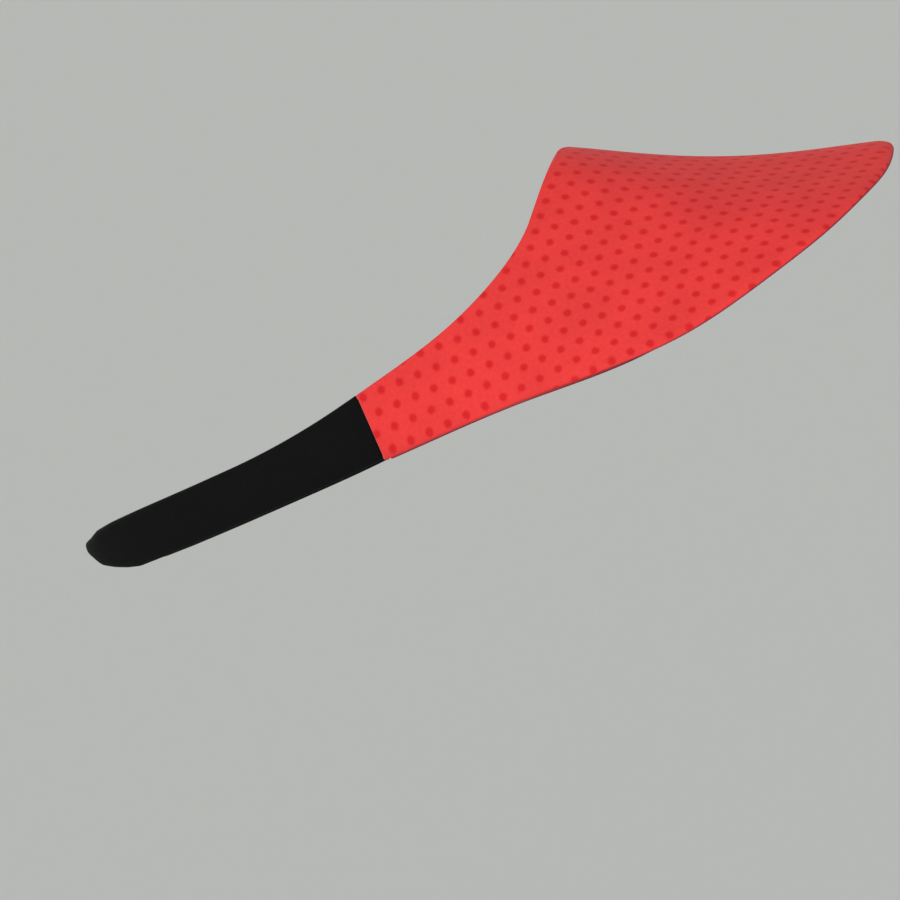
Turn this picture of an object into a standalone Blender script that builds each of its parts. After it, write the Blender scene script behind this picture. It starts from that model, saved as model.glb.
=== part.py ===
"""Clip-on sun visor: an arched crescent brim with two sprung arms that wrap the back of the head.

The visor is modelled as it is worn: +X forward, +Y to the wearer's left, +Z up, with the origin at
the centre of the head opening. Sizes are millimetres until mesh_object() turns them into metres.
"""

import math

import bpy
import numpy as np

MM = 0.001
LEFT, RIGHT = 1, -1
SIDES = {"left": LEFT, "right": RIGHT}

# The arms' outer face is a round strip in a plane that falls towards the nape.
ARM_RADIUS = 80.0
ARM_TILT = math.radians(24.0)
ARM_LENGTH = 110.5
JUNCTION_AHEAD = 25.4  # how far the brim's rear ends lie in front of the arms' widest point
JUNCTION_TOP, JUNCTION_BOTTOM = 12.0, -8.4  # across the strip, where arm meets brim
ARM_TOP, ARM_BOTTOM = 7.1, -7.7  # across the strip, behind its taper
TOP_TAPER_LENGTH, BOTTOM_TAPER_LENGTH = 45.0, 96.0
TIP_LENGTH = 17.0
TIP_POINT = 3.0  # across the strip: the end's point sits a little above the middle
TIP_POWER = 1.7  # 1 is a straight-sided point and 2 is an ellipse
HINGE_GAP = 1.0  # between the brim's end faces and the arms' end faces
HINGE_DEPTH = 2.0  # the hinge axis lies inside the thickness, midway along the gap

# The brim's outer face: the edge against the forehead and the free edge, from the crown down to the
# arm on the wearer's left. Each is (forward, sideways, up).
HEADLINE = [
    (80.3, 0, 100.0),
    (78.9, 18, 97.6),
    (75.4, 33, 90.3),
    (72.1, 41, 81.5),
    (68.9, 48, 72.4),
    (56.7, 59, 53.9),
    (41.9, 67, 39.0),
]
RIM = [
    (184.0, 0, 102.2),
    (179.4, 30, 92.2),
    (170.6, 49, 82.8),
    (157.6, 65.5, 70.9),
    (139.1, 75, 56.4),
    (115.3, 79, 40.2),
    (91.8, 78.5, 29.7),
    (68.4, 74, 21.0),
    (46.0, 72.6, 11.4),
]
RIM_LEAD = 0.5  # the rulings fan forward from headline to rim
CROWN_DIP, CROWN_DIP_REACH = 4.0, 0.6  # the saddle between forehead and peak
CROWN_DIP_POWER = 1.5  # above 1 the dip gathers midway

# Layers, as depths below the outer face.
FABRIC = 0.45
GAP = 0.27
CORE_TOP = FABRIC + GAP
CORE_THICKNESS = 1.0
SPRING_TOP = CORE_TOP + CORE_THICKNESS + GAP
SPRING_THICKNESS = 0.6
CASING_TOP = SPRING_TOP + SPRING_THICKNESS + GAP
CASING_THICKNESS = 0.35
LINING_FRONT = CORE_TOP + CORE_THICKNESS + GAP
LINING_REAR = CASING_TOP + CASING_THICKNESS + GAP
REAR_START, REAR_FULL = 0.60, 0.72  # share of the headline where the rear stack starts and is full
SLEEVE_TOP = 0.2  # the arm's fabric lies just below the brim's folded end
OUTER_PAD_TOP = SLEEVE_TOP + FABRIC + GAP
OUTER_PAD_THICKNESS = SPRING_TOP - GAP - OUTER_PAD_TOP
INNER_PAD_TOP = SPRING_TOP + SPRING_THICKNESS + GAP
INNER_PAD_THICKNESS = 0.8
SLEEVE_BOTTOM = INNER_PAD_TOP + INNER_PAD_THICKNESS + GAP + FABRIC

# Edges of the inner pieces.
CORE_INSET = 3.0  # board to the fold of its cover, so that the edge stays thin
END_INSET = 0.4  # spring and casing to the brim's end face
PAD_INSET = 2.4  # pads to the sleeve's rounded edges
SPRING_WIDTH = 7.0
SPRING_ABOVE_RIM = 10.2
CASING_WIDTH = 11.0
SPRING_ROOT_START = 0.79  # share of the headline where the springs end inside the brim
CASING_START = 0.775
SPRING_END = ARM_LENGTH - 15.0
CAP_START, CAP_END = SPRING_END - 6.0, SPRING_END + 1.2
CAP_WALL = 0.5
PAD_END = CAP_START - 0.6
SLEEVE_END = ARM_LENGTH - 0.5
CAVITY_END = ARM_LENGTH - 3.5
TIP_THINNING = 0.7  # how much the sleeve's faces close in at its tip, each
CAP_SIDE_ROOM = 0.6  # the cap's rounded edges need room beside the flat spring
CUFF_STITCH_INSET = 4.0
THREAD = 0.5
SEAM_CORD = 0.7

# The sweatband under the forehead edge.
BAND_REACH = 0.42  # share of the headline, each way from the crown
BAND_START, BAND_WIDTH = 3.0, 15.0
BAND_FOAM, BAND_FABRIC = 2.0, 0.5

BRIM_COLUMNS = 53  # odd, so that the middle faces lie flat across the crown
BRIM_ROWS = 6
ARM_COLUMNS = 16
BAND_COLUMNS = 21
ROOT_COLUMNS = 4
END_STEPS = 4  # corners round each edge of a sleeve

RED = (0.86, 0.05, 0.05)
DARK_RED = (0.42, 0.02, 0.03)
BLACK = (0.006, 0.006, 0.007)
BOARD_GREY = (0.10, 0.10, 0.11)
FOAM_GREY = (0.22, 0.22, 0.23)
STEEL = (0.56, 0.57, 0.58)
TAPE_WHITE = (0.70, 0.68, 0.64)

ALONG = np.array([math.cos(ARM_TILT), 0.0, math.sin(ARM_TILT)])
ACROSS = np.array([-math.sin(ARM_TILT), 0.0, math.cos(ARM_TILT)])
SIDEWAYS = np.array([0.0, 1.0, 0.0])
JUNCTION_ANGLE = math.asin(JUNCTION_AHEAD / ARM_RADIUS)


def smooth_step(value, start, end):
    share = min(max((value - start) / (end - start), 0.0), 1.0)
    return share * share * (3.0 - 2.0 * share)


# ---- the arms' strip ----


def arm_point(side, distance, across, depth):
    """A point on the arm: distance back from the junction, across the strip, and depth inwards."""
    angle = JUNCTION_ANGLE - distance / ARM_RADIUS
    around = math.sin(angle) * ALONG + math.cos(angle) * side * SIDEWAYS
    return (ARM_RADIUS - depth) * around + across * ACROSS


def arm_edges(distance, inset=0.0):
    """The strip's lower and upper edge at this distance, drawn in by inset, round its tip too."""
    top_taper = max(1.0 - distance / TOP_TAPER_LENGTH, 0.0) ** 2
    bottom_taper = max(1.0 - distance / BOTTOM_TAPER_LENGTH, 0.0) ** 2
    top = ARM_TOP + (JUNCTION_TOP - ARM_TOP) * top_taper - inset
    bottom = ARM_BOTTOM + (JUNCTION_BOTTOM - ARM_BOTTOM) * bottom_taper + inset
    into_tip = (distance - (ARM_LENGTH - TIP_LENGTH)) / (TIP_LENGTH - inset)
    if into_tip > 0.0:
        kept = max(1.0 - into_tip**TIP_POWER, 0.0) ** (1.0 / TIP_POWER)
        top = TIP_POINT + (top - TIP_POINT) * kept
        bottom = TIP_POINT + (bottom - TIP_POINT) * kept
    return bottom, top


def arm_middle(distance):
    return sum(arm_edges(distance)) / 2.0


def hinge_point(side):
    return arm_point(side, HINGE_GAP / 2.0, arm_middle(0.0), HINGE_DEPTH)


# ---- the brim's outer face ----


def natural_spline(knots, samples=600):
    """A dense polyline on the natural cubic spline through the knots, and each knot's place on it."""
    knots = np.array(knots, float)
    steps = np.linalg.norm(np.diff(knots, axis=0), axis=1)
    places = np.concatenate([[0.0], np.cumsum(steps)])
    count = len(knots)
    matrix = np.eye(count)
    right = np.zeros_like(knots)
    for i in range(1, count - 1):
        before, after = steps[i - 1], steps[i]
        matrix[i, i - 1 : i + 2] = before, 2.0 * (before + after), after
        right[i] = 6.0 * ((knots[i + 1] - knots[i]) / after - (knots[i] - knots[i - 1]) / before)
    bends = np.linalg.solve(matrix, right)
    wanted = np.linspace(0.0, places[-1], samples)
    span = np.clip(np.searchsorted(places, wanted, side="right") - 1, 0, count - 2)
    length = steps[span][:, None]
    after = (wanted - places[span])[:, None]
    before = length - after
    points = (
        (bends[span] * before**3 + bends[span + 1] * after**3) / (6.0 * length)
        + (knots[span] / length - bends[span] * length / 6.0) * before
        + (knots[span + 1] / length - bends[span + 1] * length / 6.0) * after
    )
    return points, wanted, places


def edge_curve(half, arm_edge):
    """A function from 0 at the crown to 1 at the left junction, by length, along one edge of the brim.

    The knots are mirrored at the crown and run on down the arm, so the edge meets both smoothly.
    """
    lead_in = [arm_point(LEFT, distance, arm_edge(distance), 0.0) for distance in (0.0, 9.0, 22.0)]
    whole = [np.array(point, float) for point in half] + lead_in
    mirrored = [point * (1.0, -1.0, 1.0) for point in whole[:0:-1]]
    points, wanted, places = natural_spline(mirrored + whole)
    crown, junction = places[len(whole) - 1], places[len(whole) - 1 + len(half)]
    kept = (wanted >= crown - 1e-6) & (wanted <= junction + 1e-6)
    points = np.vstack([half[0], points[kept], lead_in[0]])
    lengths = np.concatenate([[0.0], np.cumsum(np.linalg.norm(np.diff(points, axis=0), axis=1))])
    lengths /= lengths[-1]

    def at(share):
        return np.array([np.interp(share, lengths, points[:, axis]) for axis in range(3)])

    return at


HEADLINE_LENGTH = 138.0  # from the crown to either arm, used to turn insets into shares
headline_at = edge_curve(HEADLINE, lambda distance: arm_edges(distance)[1])
rim_at = edge_curve(RIM, lambda distance: arm_edges(distance)[0])


def brim_face(u, v):
    """The outer face. u runs -1 to 1 from the right arm over the crown to the left arm.

    v runs 0 to 1 from the headline to the rim.
    """
    share = abs(u)
    start = headline_at(share)
    end = rim_at(share + RIM_LEAD * share * (1.0 - share))
    point = start + v * (end - start)
    reach = max(1.0 - (u / CROWN_DIP_REACH) ** 2, 0.0) ** 2
    point[2] -= CROWN_DIP * reach * (4.0 * v * (1.0 - v)) ** CROWN_DIP_POWER
    if u < 0.0:
        point[1] = -point[1]
    return point


def brim_normal(u, v):
    """Outwards, away from the head, from differences taken inside the face."""
    u = min(max(u, -0.985), 0.985)
    v = min(max(v, 0.02), 0.98)
    across = brim_face(u + 0.015, v) - brim_face(u - 0.015, v)
    down = brim_face(u, v + 0.02) - brim_face(u, v - 0.02)
    normal = np.cross(down, across)
    return normal / np.linalg.norm(normal)


def brim_point(u, v, depth):
    return brim_face(u, v) - depth * brim_normal(u, v)


def brim_width(u):
    return np.linalg.norm(brim_face(u, 1.0) - brim_face(u, 0.0))


# ---- meshes ----


def material(name, colour, roughness, metallic=0.0):
    found = bpy.data.materials.new(name)
    found.use_nodes = True
    shader = found.node_tree.nodes["Principled BSDF"]
    shader.inputs["Base Color"].default_value = (*colour, 1.0)
    shader.inputs["Roughness"].default_value = roughness
    shader.inputs["Metallic"].default_value = metallic
    found.diffuse_color = (*colour, 1.0)
    return found


def mesh_object(name, points, faces, finish, origin=None):
    """One object from points in millimetres, its origin on the hinge where it has one."""
    origin = np.zeros(3) if origin is None else origin
    mesh = bpy.data.meshes.new(name)
    mesh.from_pydata([tuple((np.array(point) - origin) * MM) for point in points], [], faces)
    mesh.materials.append(finish)
    mesh.update()
    made = bpy.data.objects.new(name, mesh)
    made.location = tuple(origin * MM)
    bpy.context.scene.collection.objects.link(made)
    mesh.shade_smooth()
    mesh.set_sharp_from_angle(angle=math.radians(40.0))
    return made


def slab(name, outer, inner, finish, origin=None):
    """A closed sheet between two grids of points, outer[i][j] and inner[i][j].

    Its faces point out when i runs to the wearer's left and j runs forward and down.
    """
    columns, rows = len(outer), len(outer[0])
    points = [point for grid in (outer, inner) for column in grid for point in column]

    def index(layer, i, j):
        return layer * columns * rows + i * rows + j

    faces = []
    for i in range(columns - 1):
        for j in range(rows - 1):
            faces.append((index(0, i, j), index(0, i, j + 1), index(0, i + 1, j + 1), index(0, i + 1, j)))
            faces.append((index(1, i, j), index(1, i + 1, j), index(1, i + 1, j + 1), index(1, i, j + 1)))
    for i in range(columns - 1):
        faces.append((index(0, i, 0), index(0, i + 1, 0), index(1, i + 1, 0), index(1, i, 0)))
        last = rows - 1
        faces.append((index(0, i + 1, last), index(0, i, last), index(1, i, last), index(1, i + 1, last)))
    for j in range(rows - 1):
        faces.append((index(0, 0, j + 1), index(0, 0, j), index(1, 0, j), index(1, 0, j + 1)))
        last = columns - 1
        faces.append((index(0, last, j), index(0, last, j + 1), index(1, last, j + 1), index(1, last, j)))
    return mesh_object(name, points, faces, finish, origin)


def brim_slab(name, finish, columns, rows, top, thickness):
    """A layer of the brim. columns lists u; rows(u) lists v; top(u) and thickness(u) are millimetres."""
    grids = []
    for bottom in (0.0, 1.0):
        grids.append([[brim_point(u, v, top(u) + bottom * thickness(u)) for v in rows(u)] for u in columns])
    return slab(name, *grids, finish)


def arm_slab(name, finish, side, stations, edges, top, thickness):
    """A layer of the arm: a strip between edges(distance), from depth top to top + thickness."""
    ordered = stations if side == LEFT else stations[::-1]
    grids = []
    for depth in (top, top + thickness):
        grid = []
        for distance in ordered:
            low, high = edges(distance)
            grid.append([arm_point(side, distance, across, depth) for across in (high, low)])
        grids.append(grid)
    return slab(name, *grids, finish, hinge_point(side))


def arm_loop(side, distance, low, high, top, bottom):
    """A ring of points round the strip, with half-round edges, seen in the same turn from the junction."""
    radius = min((bottom - top) / 2.0, (high - low) / 2.2)
    middle = (top + bottom) / 2.0
    ring = []
    for centre, turn in ((high - radius, 0.0), (low + radius, math.pi)):
        for step in range(END_STEPS + 1):
            angle = turn + math.pi / 2.0 - math.pi * step / END_STEPS
            depth = middle - (bottom - top) / 2.0 * math.sin(angle)
            ring.append(arm_point(side, distance, centre + radius * math.cos(angle), depth))
    return ring if side == RIGHT else ring[::-1]


def sock(name, outer, inner, finish, origin):
    """A closed-ended tube: rings of points from its mouth to its end, outside and inside."""
    size = len(outer[0])
    points = [point for ring in outer + inner for point in ring]
    faces = []
    for first, rings, flip in ((0, outer, False), (len(outer) * size, inner, True)):
        for i in range(len(rings) - 1):
            for j in range(size):
                here, there = first + i * size, first + (i + 1) * size
                following = (j + 1) % size
                face = (here + j, here + following, there + following, there + j)
                faces.append(face[::-1] if flip else face)
        last = first + (len(rings) - 1) * size
        end = tuple(range(last, last + size))
        faces.append(end[::-1] if flip else end)
    mouth = len(outer) * size
    for j in range(size):
        following = (j + 1) % size
        faces.append((j, mouth + j, mouth + following, following))
    return mesh_object(name, points, faces, finish, origin)


def thread(name, route, diameter, finish, origin=None):
    """A thread or cord along a polyline, with closed ends."""
    origin = np.zeros(3) if origin is None else origin
    curve = bpy.data.curves.new(name, "CURVE")
    curve.dimensions = "3D"
    curve.bevel_depth = diameter / 2.0 * MM
    curve.bevel_resolution = 0
    curve.use_fill_caps = True
    spline = curve.splines.new("POLY")
    spline.points.add(len(route) - 1)
    for place, point in zip(spline.points, route):
        place.co = (*((np.array(point) - origin) * MM), 1.0)
    curve.materials.append(finish)
    made = bpy.data.objects.new(name, curve)
    made.location = tuple(origin * MM)
    bpy.context.scene.collection.objects.link(made)
    return made


# ---- the brim ----


def brim_columns(reach=1.0, count=BRIM_COLUMNS):
    return list(np.linspace(-reach, reach, count + 1))


def rows_between(headline_inset, rim_inset, count=1):
    """Rows of v from headline_inset to rim_inset, both in millimetres inside their edge."""

    def rows(u):
        width = brim_width(u)
        return list(np.linspace(headline_inset / width, 1.0 - rim_inset / width, count + 1))

    return rows


def rows_from(start, width):
    """Two rows of v, start millimetres inside the headline and width further."""

    def rows(u):
        return [start / brim_width(u), (start + width) / brim_width(u)]

    return rows


def rows_above_rim(middle, width):
    """Two rows of v on a strip of this width whose middle runs this far inside the rim."""

    def rows(u):
        return [1.0 - (middle + width / 2.0) / brim_width(u), 1.0 - (middle - width / 2.0) / brim_width(u)]

    return rows


def lining_top(u):
    return LINING_FRONT + (LINING_REAR - LINING_FRONT) * smooth_step(abs(u), REAR_START, REAR_FULL)


def make_brim(finishes):
    whole = brim_columns()
    edge_to_edge = rows_between(0.0, 0.0, BRIM_ROWS)
    brim_slab("brim_cover", finishes["cover"], whole, edge_to_edge, lambda u: 0.0, lambda u: FABRIC)
    brim_slab("brim_lining", finishes["lining"], whole, edge_to_edge, lining_top, lambda u: FABRIC)
    short = brim_columns(1.0 - CORE_INSET / HEADLINE_LENGTH)
    inset = rows_between(CORE_INSET, CORE_INSET, BRIM_ROWS)
    brim_slab("brim_core", finishes["board"], short, inset, lambda u: CORE_TOP, lambda u: CORE_THICKNESS)


def make_edge_seams(finishes):
    """A cord runs between cover and lining along the rim, and another along the headline."""
    for name, at_rim in (("rim_seam_cord", True), ("headline_seam_cord", False)):
        route = []
        for u in brim_columns()[1:-1]:
            inside = 0.6 * SEAM_CORD / brim_width(u)
            depth = (FABRIC + lining_top(u)) / 2.0
            route.append(brim_point(u, 1.0 - inside if at_rim else inside, depth))
        thread(name, route, SEAM_CORD, finishes["thread"])


def make_sweatband(finishes):
    foam_top = LINING_FRONT + FABRIC + GAP
    cloth_top = foam_top + BAND_FOAM + GAP
    columns = brim_columns(BAND_REACH, BAND_COLUMNS)
    foam_rows = rows_from(BAND_START + 1.0, BAND_WIDTH - 2.0)
    brim_slab("sweatband_foam", finishes["foam"], columns, foam_rows, lambda u: foam_top, lambda u: BAND_FOAM)
    wide = brim_columns(BAND_REACH + 0.01, BAND_COLUMNS)
    cloth_rows = rows_from(BAND_START, BAND_WIDTH)
    cloth = finishes["lining"]
    brim_slab("sweatband_cover", cloth, wide, cloth_rows, lambda u: cloth_top, lambda u: BAND_FABRIC)
    route = []
    for u in brim_columns(BAND_REACH, 27):
        forward = BAND_START + BAND_WIDTH + THREAD
        route.append(brim_point(u, forward / brim_width(u), foam_top + THREAD))
    thread("sweatband_stitching", route, THREAD, finishes["thread"])


def make_spring_root(side_name, side, finishes):
    """The spring's inner end in its casing, between board and lining."""
    end = 1.0 - END_INSET / HEADLINE_LENGTH
    for name, start, width, top, thickness, finish in (
        ("spring_root", SPRING_ROOT_START, SPRING_WIDTH, SPRING_TOP, SPRING_THICKNESS, "spring"),
        ("spring_casing", CASING_START, CASING_WIDTH, CASING_TOP, CASING_THICKNESS, "tape"),
    ):
        columns = sorted(side * u for u in np.linspace(start, end, ROOT_COLUMNS + 1))
        rows = rows_above_rim(SPRING_ABOVE_RIM, width)
        full_name = f"{side_name}_{name}"
        brim_slab(full_name, finishes[finish], columns, rows, lambda u: top, lambda u: thickness)


def make_cuff_stitching(side_name, side, finishes):
    """The folded end of the brim's cloth is sewn down on the inner side."""
    u = side * (1.0 - CUFF_STITCH_INSET / HEADLINE_LENGTH)
    depth = LINING_REAR + FABRIC + THREAD
    route = [brim_point(u, v, depth) for v in np.linspace(0.08, 0.92, 7)]
    thread(f"{side_name}_cuff_stitching", route, THREAD, finishes["thread"])


# ---- the arms ----


def make_arm_pads(side_name, side, finishes):
    stations = list(np.linspace(HINGE_GAP + END_INSET, PAD_END, ARM_COLUMNS + 1))

    def edges(distance):
        low, high = arm_edges(distance)
        return low + PAD_INSET, high - PAD_INSET

    for name, top, thickness in (
        ("outer_pad", OUTER_PAD_TOP, OUTER_PAD_THICKNESS),
        ("inner_pad", INNER_PAD_TOP, INNER_PAD_THICKNESS),
    ):
        arm_slab(f"{side_name}_arm_{name}", finishes["foam"], side, stations, edges, top, thickness)


def spring_edges(distance):
    middle = arm_middle(distance)
    return middle - SPRING_WIDTH / 2.0, middle + SPRING_WIDTH / 2.0


def make_arm_spring(side_name, side, finishes):
    stations = list(np.linspace(HINGE_GAP, SPRING_END, ARM_COLUMNS + 1))
    name = f"{side_name}_arm_spring"
    arm_slab(name, finishes["spring"], side, stations, spring_edges, SPRING_TOP, SPRING_THICKNESS)


def make_spring_cap(side_name, side, finishes):
    """A dipped vinyl cap keeps the spring's end from cutting through the sleeve."""
    rings = []
    for spare, end in ((GAP + CAP_WALL, CAP_END), (GAP, CAP_END - CAP_WALL)):
        stations = np.linspace(CAP_START, end, 3)
        top, bottom = SPRING_TOP - spare, SPRING_TOP + SPRING_THICKNESS + spare
        rings.append([cap_loop(side, distance, spare, top, bottom) for distance in stations])
    sock(f"{side_name}_spring_cap", *rings, finishes["cap"], hinge_point(side))


def cap_loop(side, distance, spare, top, bottom):
    low, high = spring_edges(distance)
    side_spare = spare + CAP_SIDE_ROOM
    return arm_loop(side, distance, low - side_spare, high + side_spare, top, bottom)


def make_sleeve(side_name, side, finishes):
    """The arm's fabric tube, closed at its tip."""
    rings = []
    tip_start = ARM_LENGTH - TIP_LENGTH
    for inset, end in ((0.0, SLEEVE_END), (FABRIC, CAVITY_END)):
        straight = np.linspace(HINGE_GAP, tip_start, ARM_COLUMNS - 2)
        rounded = tip_start + (end - tip_start) * np.sqrt(np.linspace(0.0, 1.0, 6)[1:])
        loops = []
        for distance in (*straight, *rounded):
            low, high = arm_edges(distance, inset)
            into_tip = max((distance - tip_start) / TIP_LENGTH, 0.0)
            thinning = TIP_THINNING * into_tip**2
            top, bottom = SLEEVE_TOP + inset + thinning, SLEEVE_BOTTOM - inset - thinning
            loops.append(arm_loop(side, distance, low, high, top, bottom))
        rings.append(loops)
    sock(f"{side_name}_arm_sleeve", *rings, finishes["sleeve"], hinge_point(side))


def make_sleeve_seam(side_name, side, finishes):
    """The sleeve's long seam, on the side that lies against the head."""
    route = []
    for distance in np.linspace(HINGE_GAP + 2.0, ARM_LENGTH - TIP_LENGTH, ARM_COLUMNS):
        route.append(arm_point(side, distance, arm_middle(distance), SLEEVE_BOTTOM + THREAD))
    thread(f"{side_name}_sleeve_seam", route, THREAD, finishes["black_thread"], hinge_point(side))


def main():
    for old in list(bpy.data.objects):
        bpy.data.objects.remove(old, do_unlink=True)
    finishes = {
        "cover": material("dotted_red_fabric", RED, 0.85),
        "lining": material("red_lining_fabric", DARK_RED, 0.9),
        "sleeve": material("black_fabric", BLACK, 0.9),
        "board": material("brim_board", BOARD_GREY, 0.6),
        "foam": material("grey_foam", FOAM_GREY, 0.95),
        "spring": material("spring_steel", STEEL, 0.3, 1.0),
        "cap": material("black_vinyl", BLACK, 0.45),
        "tape": material("casing_tape", TAPE_WHITE, 0.9),
        "thread": material("dark_red_thread", DARK_RED, 0.7),
        "black_thread": material("black_thread", BLACK, 0.7),
    }
    make_brim(finishes)
    make_edge_seams(finishes)
    make_sweatband(finishes)
    for side_name, side in SIDES.items():
        make_spring_root(side_name, side, finishes)
        make_cuff_stitching(side_name, side, finishes)
        make_arm_pads(side_name, side, finishes)
        make_arm_spring(side_name, side, finishes)
        make_spring_cap(side_name, side, finishes)
        make_sleeve(side_name, side, finishes)
        make_sleeve_seam(side_name, side, finishes)


main()
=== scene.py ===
"""The looks of the clip-on sun visor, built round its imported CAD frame.

+X is forward, +Y is the wearer's left and +Z is up. Sizes are millimetres, as in the CAD source, whose
driving sizes and reference surfaces are repeated here. mesh_piece() turns them into metres.
"""
import math

import bpy
import numpy as np
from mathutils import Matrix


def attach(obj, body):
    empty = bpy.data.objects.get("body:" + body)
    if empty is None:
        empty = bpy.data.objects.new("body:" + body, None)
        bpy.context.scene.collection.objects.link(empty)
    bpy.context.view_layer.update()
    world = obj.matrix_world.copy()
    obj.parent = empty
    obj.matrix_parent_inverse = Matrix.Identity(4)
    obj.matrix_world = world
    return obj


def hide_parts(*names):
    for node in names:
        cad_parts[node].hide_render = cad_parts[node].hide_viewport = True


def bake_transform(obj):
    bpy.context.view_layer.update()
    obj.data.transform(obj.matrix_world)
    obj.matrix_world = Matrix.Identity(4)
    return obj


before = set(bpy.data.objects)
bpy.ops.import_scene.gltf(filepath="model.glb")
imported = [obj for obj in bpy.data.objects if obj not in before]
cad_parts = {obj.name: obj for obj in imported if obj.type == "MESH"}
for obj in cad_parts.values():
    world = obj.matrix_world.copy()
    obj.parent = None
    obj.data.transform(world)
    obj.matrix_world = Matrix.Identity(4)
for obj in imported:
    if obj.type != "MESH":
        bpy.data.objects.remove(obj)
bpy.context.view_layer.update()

MM = 0.001
LEFT, RIGHT = 1, -1
SIDES = {"left": LEFT, "right": RIGHT}

# ---- sizes shared with the CAD source ----

ARM_RADIUS = 80.0
ARM_TILT = math.radians(24.0)
ARM_LENGTH = 110.5
JUNCTION_AHEAD = 25.4
JUNCTION_TOP, JUNCTION_BOTTOM = 12.0, -8.4
ARM_TOP, ARM_BOTTOM = 7.1, -7.7
TOP_TAPER_LENGTH, BOTTOM_TAPER_LENGTH = 45.0, 96.0
HINGE_GAP = 1.0
HEADLINE = [
    (80.3, 0, 100.0),
    (78.9, 18, 97.6),
    (75.4, 33, 90.3),
    (72.1, 41, 81.5),
    (68.9, 48, 72.4),
    (56.7, 59, 53.9),
    (41.9, 67, 39.0),
]
RIM = [
    (184.0, 0, 102.2),
    (179.4, 30, 92.2),
    (170.6, 49, 82.8),
    (157.6, 65.5, 70.9),
    (139.1, 75, 56.4),
    (115.3, 79, 40.2),
    (91.8, 78.5, 29.7),
    (68.4, 74, 21.0),
    (46.0, 72.6, 11.4),
]
LEAD_IN = (0.0, 9.0, 22.0)  # places on the arm that the brim's edges run on to
HEADLINE_LENGTH = 138.0
RIM_LEAD = 0.5
CROWN_DIP, CROWN_DIP_REACH, CROWN_DIP_POWER = 4.0, 0.6, 1.5
LINING_INNER_FRONT, LINING_INNER_REAR = 2.18, 3.83  # depth of the side that faces the head
REAR_SPAN = (0.60, 0.72)
SPRING_TOP, SPRING_THICKNESS, SPRING_WIDTH = 1.99, 0.6, 7.0
SPRING_ABOVE_RIM = 10.2
SPRING_END = ARM_LENGTH - 15.0
PAD_START, PAD_END = HINGE_GAP + 5.0, SPRING_END - 6.6
CASING_START, CASING_TOP, CASING_WIDTH, CASING_THICKNESS = 0.775, 2.86, 11.0, 0.35
SLEEVE_TOP, SLEEVE_BOTTOM = 0.2, 4.38
OUTER_PAD = (0.92, 1.72)  # depths of its two faces
INNER_PAD = (2.86, 3.66)
PAD_INSET = 2.4
BAND_REACH, BAND_START, BAND_WIDTH = 0.42, 3.0, 15.0
BAND_TOP, BAND_FOAM = 2.71, 2.0

# ---- sizes of the sewn work ----

CLOTH = 0.3  # thickness of one layer
RIM_ROLL_WIDTH, RIM_ROLL_DEPTH = 2.4, 0.95  # how the cover turns over the board's edge
HEADLINE_ROLL_WIDTH, HEADLINE_ROLL_DEPTH = 1.1, 0.8
NOSE_ROLL_WIDTH, NOSE_ROLL_DEPTH = 2.4, 0.8  # added in the middle of the rim
PEAK_ROLL_WIDTH, PEAK_ROLL_DEPTH = 2.2, 0.7  # and in the middle of the headline
CROWN_SPAN = (0.02, 0.14)
SEAM_FOLLOWS_ROLL = 1.15  # how far the seams sink with the deeper rolls
ROLL_END = math.radians(100.0)
TUCK_SINK = 0.1
EDGE_ROOM = 0.2  # from the rim's fold to the surface's nominal edge
REAR_FULLNESS, FULLNESS_SPAN = 0.6, (0.40, 0.65)
SEAM_DEPTH = 1.2
SEAM_CORD, SEAM_CORD_INSET, SEAM_TWIST, SEAM_PLY = 0.42, 0.3, 1.5, 0.07
THREAD_ENDS = (("rim_thread_end", 0.549, 1.3), ("cuff_thread_end", 0.99, 0.9))  # name, place, length
TAIL_THREAD, TAIL_TWIST, TAIL_STEP = 0.3, 0.8, 0.12
CHAMFER_FRONT, CHAMFER_REAR = 2.8, 1.6  # how wide the lining slopes up to the seam
CHAMFER_POWER = 1.5
LINING_SLACK, LINING_SLACK_REACH = 0.42, 0.09
CUFF_ROOM = 0.6  # the folded ends stop short of the hinge gap
SEAM_END_ROOM = 1.2  # the cords stop short of the cuffs
CUFF_FOLD = 0.35  # radius of the folded end
CUFF_TUCK = 0.9
FOLD_FADE = 0.85  # how much the lining's fold shrinks on its slopes
CUFF_STITCH_INSET = 4.0
MOUTH_TOP, MOUTH_BOTTOM = 0.95, 2.9  # the sleeve where it enters the cuff
MOUTH_TUCK, MOUTH_LENGTH = 1.4, 6.0
MOUTH_INSET_TOP, MOUTH_INSET_BOTTOM, MOUTH_EASE, MOUTH_NECK = 0.25, 0.4, 13.0, 1.1
NECK_SPAN = (-1.1, -0.3)
INNER_INSET, INNER_NECK = 0.5, 1.5  # how much narrower the side that faces the head is
INNER_SPAN = (-0.5, 5.0)
SLEEVE_WIDTH, SLEEVE_THICKNESS = 18.0, 4.0  # nominal
SLEEVE_SAG = 0.5  # the padded lower edge bulges past the CAD strip
TIP_END = 112.1  # the sewn tip stands a little past the CAD sleeve
TIP_TOP = [(0.0, 3.0), (1.5, 5.0), (7.0, 5.8), (12.0, 7.0), (20.0, 7.4), (38.0, 7.5)]
TIP_BOTTOM = [(0.0, 3.0), (0.8, 1.9), (3.6, 0.0), (7.2, -2.9), (13.5, -5.0), (19.4, -6.6)]
TIP_BOTTOM += [(24.5, -7.6), (38.0, -7.9)]
TIP_ROUNDING, TIP_THINNING, TIP_CLOSING = 0.8, 14.0, 0.5
TIP_SPAN = (60.0, 20.0)  # from the end, where the sewn tip's outline takes over
TAIL_LENGTH, TAIL_RINGS, TAIL_CROWDING, LAST_RING = 26.0, 61, 1.7, 0.01
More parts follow.
